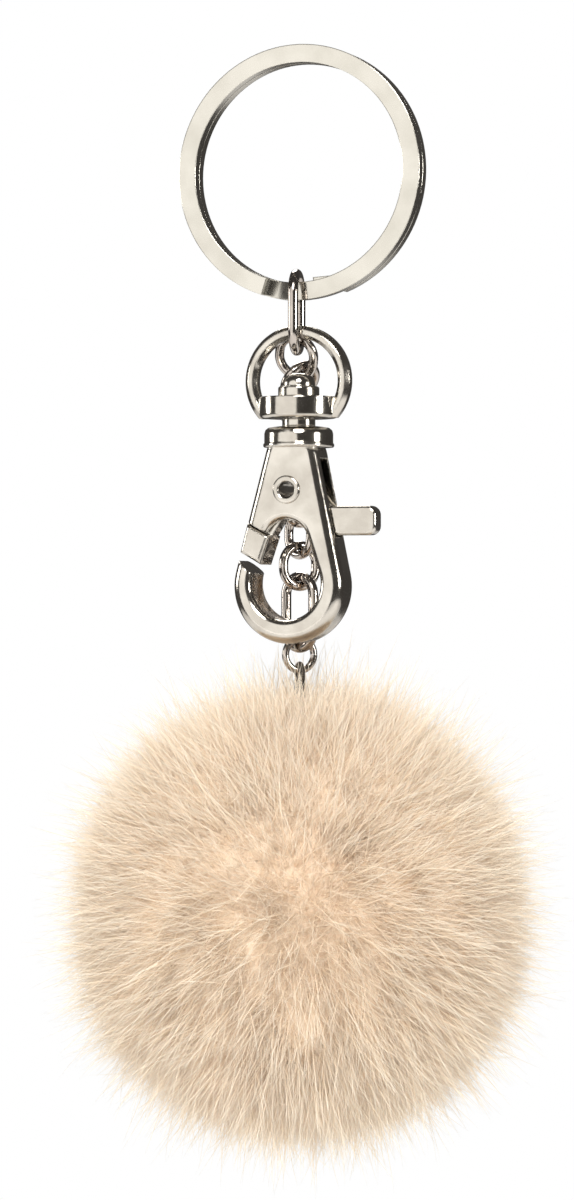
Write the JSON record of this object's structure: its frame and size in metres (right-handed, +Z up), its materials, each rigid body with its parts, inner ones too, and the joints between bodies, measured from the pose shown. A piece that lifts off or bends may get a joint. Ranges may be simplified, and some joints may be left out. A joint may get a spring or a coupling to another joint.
{
  "type": "fur ball key ring",
  "caption": "Split ring with a swivel trigger hook and a short chain that carries a fluffy fur ball, hanging at rest.",
  "frame": {"origin": "centre of the split ring's hole, midway between its two turns", "axes": "+Z up along the hanging object, -Y towards the front of the split ring and the hook, +X to the right seen from the front"},
  "size_m": [0.056, 0.056, 0.1306],
  "materials": {
    "nickel_steel": "polished bright nickel plate on steel wire and strip",
    "nickel_casting": "polished bright nickel plate on a casting",
    "spring_steel": "drawn spring wire",
    "thread": "twisted dark sewing thread",
    "pelt": "backing of the fur",
    "stuffing": "polyester fibre filling",
    "fur": "long soft beige fur with pale tips"
  },
  "bodies": {
    "split_ring": {"split_ring": "nickel_steel"},
    "top_jump_ring": {"top_jump_ring": "nickel_steel"},
    "swivel_bow": {"swivel_bow": "nickel_casting"},
    "hook": {"hook_body": "nickel_casting", "swivel_stud": "nickel_casting", "pivot_rivet": "nickel_casting", "trigger_spring": "spring_steel"},
    "trigger": {"trigger": "nickel_casting"},
    "chain_link_1": {"chain_link_1": "nickel_steel"},
    "chain_link_2": {"chain_link_2": "nickel_steel"},
    "chain_link_3": {"chain_link_3": "nickel_steel"},
    "chain_link_4": {"chain_link_4": "nickel_steel"},
    "chain_link_5": {"chain_link_5": "nickel_steel"},
    "chain_link_6": {"chain_link_6": "nickel_steel"},
    "chain_link_7": {"chain_link_7": "nickel_steel"},
    "chain_link_8": {"chain_link_8": "nickel_steel"},
    "lower_jump_ring": {"lower_jump_ring": "nickel_steel"},
    "end_ring": {"end_ring": "nickel_steel"},
    "fur_ball": {"tether_loop": "thread", "tether_knot": "thread", "gathering_thread": "thread", "pelt_skin": "pelt", "stuffing": "stuffing", "fur_pile": "fur"}
  },
  "joints": [
    {"name": "jump_ring_swing", "type": "hinge", "parent": "split_ring", "child": "top_jump_ring", "pos_m": [-0.0005, -0.00024, -0.01395], "axis": [1, 0, 0], "range_deg": [-30, 30]},
    {"name": "bow_swing", "type": "hinge", "parent": "top_jump_ring", "child": "swivel_bow", "pos_m": [0, -0.00094, -0.02088], "axis": [0, 1, 0], "range_deg": [-25, 3]},
    {"name": "hook_swivel", "type": "hinge", "parent": "swivel_bow", "child": "hook", "pos_m": [0, -0.00094, -0.0276], "axis": [0, 0, 1], "range_deg": [-20, 30]},
    {"name": "trigger_pivot", "type": "hinge", "parent": "hook", "child": "trigger", "pos_m": [-0.0006, -0.00094, -0.0373], "axis": [0, -1, 0], "range_deg": [0, 25], "stiffness_Nm_per_rad": 0.05, "springref_deg": -28.65, "deforming": ["trigger_spring"]},
    {"name": "link_1_swing", "type": "hinge", "parent": "top_jump_ring", "child": "chain_link_1", "pos_m": [-0.00065, 0.00063, -0.01931], "axis": [0.9903, -0.1392, 0], "range_deg": [0, 10]},
    {"name": "link_2_swing", "type": "hinge", "parent": "chain_link_1", "child": "chain_link_2", "pos_m": [-0.00152, 0.00179, -0.02304], "axis": [0.3746, 0.9272, 0], "range_deg": [-2, 4]},
    {"name": "link_3_swing", "type": "hinge", "parent": "chain_link_2", "child": "chain_link_3", "pos_m": [-0.00252, 0.00483, -0.02503], "axis": [0.9135, -0.4067, 0], "range_deg": [-2, 9]},
    {"name": "link_4_swing", "type": "hinge", "parent": "chain_link_3", "child": "chain_link_4", "pos_m": [-0.00235, 0.00592, -0.02865], "axis": [0.4384, 0.8988, 0], "range_deg": [-6, 10]},
    {"name": "link_5_swing", "type": "hinge", "parent": "chain_link_4", "child": "chain_link_5", "pos_m": [-0.00235, 0.00592, -0.03241], "axis": [0.8746, -0.4848, 0], "range_deg": [-2, 9]},
    {"name": "link_6_swing", "type": "hinge", "parent": "chain_link_5", "child": "chain_link_6", "pos_m": [-0.00235, 0.00592, -0.03617], "axis": [0.5299, 0.848, 0], "range_deg": [-6, 10]},
    {"name": "link_7_swing", "type": "hinge", "parent": "chain_link_6", "child": "chain_link_7", "pos_m": [-0.00235, 0.00592, -0.03993], "axis": [0.829, -0.5592, 0], "range_deg": [-3, 10]},
    {"name": "link_8_swing", "type": "hinge", "parent": "chain_link_7", "child": "chain_link_8", "pos_m": [-0.00235, 0.00592, -0.04369], "axis": [0.6561, 0.7547, 0], "range_deg": [-5, 10]},
    {"name": "lower_ring_swing", "type": "hinge", "parent": "chain_link_8", "child": "lower_jump_ring", "pos_m": [-0.00235, 0.00592, -0.0474], "axis": [0.9272, -0.3746, 0], "range_deg": [-5, 10]},
    {"name": "end_ring_swing", "type": "hinge", "parent": "lower_jump_ring", "child": "end_ring", "pos_m": [-0.00235, 0.00592, -0.05484], "axis": [0.6947, 0.7193, 0], "range_deg": [-15, 15]},
    {"name": "fur_ball_swing", "type": "hinge", "parent": "end_ring", "child": "fur_ball", "pos_m": [-0.00235, 0.00592, -0.05859], "axis": [0.7193, -0.6947, 0], "range_deg": [-18, 18]}
  ]
}
